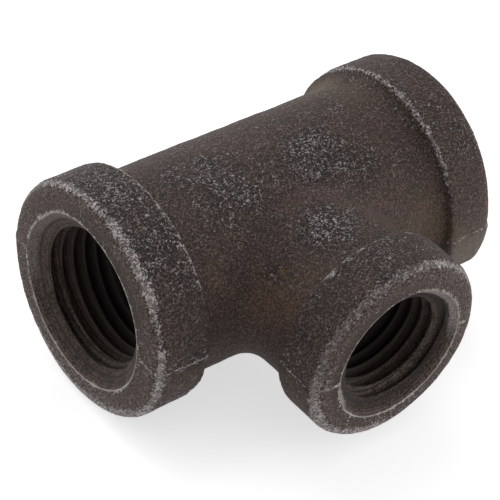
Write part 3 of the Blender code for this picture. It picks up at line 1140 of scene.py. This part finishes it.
def machined_skin():
    """Countersink and thread: cut iron gone dark, with painted shade deepening towards the waterway."""
    s = Shading("tapped_iron")
    cut = cut_grain(s)
    cone = inner_cone(s, cut)
    rough = s.ramp(cut.depth, 2.0, 4.5, 0.95, 0.4)
    rough = s.times(rough, s.ramp(cone, 0.0, 1.0, 1.0, 0.5))
    base = s.mix(s.times(cone, 0.8), cut_base(s, cut), INNER_CONE)
    base = tool_marked(s, base, cut, rough)
    base = s.mix(pale_lip(s, cut), base, PALE_LIP)
    base = s.mix(s.ramp(cut.depth, 0.55, 0.85, 0.0, 0.20), base, CONE_SHADE)
    # Painted shade, deepening with the depth into the socket
    base = s.mix(s.ramp(cut.depth, 2.5, 7.0), base, PAINTED_DEPTH_SHADE)
    base = s.mix(cut_mouth_edge(s, cut), base, CUT_EDGE)
    s.set(s.shader.inputs["Base Color"], base)
    s.shader.inputs["Roughness"].default_value = 0.60
    s.shader.inputs["Specular IOR Level"].default_value = 0.14
    relief = s.times(cut.fine, rough)
    s.set(s.shader.inputs["Normal"], s.bump(relief, CUT_RELIEF, s.bump(cut.rings, RING_RELIEF)))
    return s.material


def make_casting():
    cast = cast_skin()
    machined = machined_skin()
    casting = cast_blank()
    casting.data.materials.clear()
    casting.data.materials.append(cast)
    roughen(casting)
    tap_sockets(casting, cast, machined)
    mark_skin(casting.data)
    casting.data.transform(Matrix.Translation(CROSSING) @ Matrix.Scale(MM, 4))
    casting.data.shade_smooth()
    casting.data.set_sharp_from_angle(angle=SHARP_ANGLE)
    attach(casting, "root")
    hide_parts("tee_body", "run_band_left", "run_band_right", "branch_band")


# Stage: floor, light and camera, in metres and degrees, but lens and sensor in millimetres
FLOOR_SIZE = 6.0
FLOOR_TONE = 0.9
FLOOR_ROUGHNESS = 0.9
FLOOR_GLOW = 0.6
WORLD_LEVEL = 0.43
WHITE = (1.0, 1.0, 1.0, 1.0)
CAMERA_AZIMUTH = -43.152
CAMERA_ELEVATION = 40.023
CAMERA_ROLL = 7.529
CAMERA_DISTANCE = 0.214585
CAMERA_LENS = 146.5
CAMERA_SENSOR = 36.0
CAMERA_CLIP = 0.01
CENTRE_RIGHT = 0.000668
CENTRE_UP = 0.002319

# Square lamps: name, place, and the brightness that each gives a white surface facing it
LAMP_SIZE = 0.40
LAMPS = (
    ("overhead_softbox", (0.05, 0.28, 0.45), 0.22),
    ("right_softbox", (0.40, -0.40, 0.10), 0.38),
    ("left_softbox", (-0.20, 0.46, 0.16), 0.28),
)


def seen_directly(tree):
    """1 for rays that show the background: from the camera, off gloss or through glass."""
    path = tree.nodes.new("ShaderNodeLightPath")
    shown = path.outputs["Is Camera Ray"]
    for name in ("Is Glossy Ray", "Is Transmission Ray"):
        either = tree.nodes.new("ShaderNodeMath")
        either.operation = "MAXIMUM"
        tree.links.new(shown, either.inputs[0])
        tree.links.new(path.outputs[name], either.inputs[1])
        shown = either.outputs[0]
    return shown


def background_level(tree, others, shown):
    """A level that differs between rays that show the background and all others."""
    level = tree.nodes.new("ShaderNodeMapRange")
    tree.links.new(seen_directly(tree), level.inputs["Value"])
    level.inputs["To Min"].default_value = others
    level.inputs["To Max"].default_value = shown
    return level.outputs["Result"]


def pale_floor():
    half = FLOOR_SIZE / 2
    corners = np.array([(-half, -half, 0), (half, -half, 0), (half, half, 0), (-half, half, 0)])
    floor = new_object("floor", corners, [(0, 1, 2, 3)])
    material = bpy.data.materials.new("pale_floor")
    material.use_nodes = True
    tree = material.node_tree
    shader = tree.nodes["Principled BSDF"]
    shader.inputs["Base Color"].default_value = (FLOOR_TONE, FLOOR_TONE, FLOOR_TONE, 1.0)
    shader.inputs["Roughness"].default_value = FLOOR_ROUGHNESS
    shader.inputs["Specular IOR Level"].default_value = 0.0
    shader.inputs["Emission Color"].default_value = WHITE
    tree.links.new(background_level(tree, 0.0, FLOOR_GLOW), shader.inputs["Emission Strength"])
    floor.data.materials.append(material)


def soft_world():
    world = bpy.data.worlds.new("studio")
    bpy.context.scene.world = world
    world.use_nodes = True
    tree = world.node_tree
    background = tree.nodes["Background"]
    background.inputs["Color"].default_value = WHITE
    tree.links.new(background_level(tree, WORLD_LEVEL, 1.0), background.inputs["Strength"])


def area_light(name, place, brightness):
    """A square lamp aimed at the part."""
    target = Vector((0.0, 0.0, CROSSING.z))
    light = bpy.data.lights.new(name, "AREA")
    light.shape = "SQUARE"
    light.size = LAMP_SIZE
    offset = Vector(place) - target
    light.energy = brightness * math.pi ** 2 * offset.length_squared
    lamp = bpy.data.objects.new(name, light)
    lamp.location = place
    lamp.rotation_mode = "QUATERNION"
    lamp.rotation_quaternion = (-offset).to_track_quat("-Z", "Y")
    bpy.context.scene.collection.objects.link(lamp)


def photo_camera():
    azimuth = math.radians(CAMERA_AZIMUTH)
    elevation = math.radians(CAMERA_ELEVATION)
    roll = math.radians(CAMERA_ROLL)
    level = Vector((math.cos(azimuth), math.sin(azimuth), 0.0))
    back = Vector((
        math.sin(azimuth) * math.cos(elevation),
        -math.cos(azimuth) * math.cos(elevation),
        math.sin(elevation)))
    above = back.cross(level)
    right = math.cos(roll) * level + math.sin(roll) * above
    up = math.cos(roll) * above - math.sin(roll) * level
    data = bpy.data.cameras.new("camera")
    data.lens = CAMERA_LENS
    data.sensor_width = CAMERA_SENSOR
    data.clip_start = CAMERA_CLIP
    camera = bpy.data.objects.new("camera", data)
    place = CROSSING - CENTRE_RIGHT * right - CENTRE_UP * up + CAMERA_DISTANCE * back
    turn = Matrix((right, up, back)).transposed()
    camera.matrix_world = Matrix.Translation(place) @ turn.to_4x4()
    bpy.context.scene.collection.objects.link(camera)
    bpy.context.scene.camera = camera


make_casting()
pale_floor()
soft_world()
for lamp in LAMPS:
    area_light(*lamp)
photo_camera()
bpy.context.scene.view_settings.view_transform = "Standard"
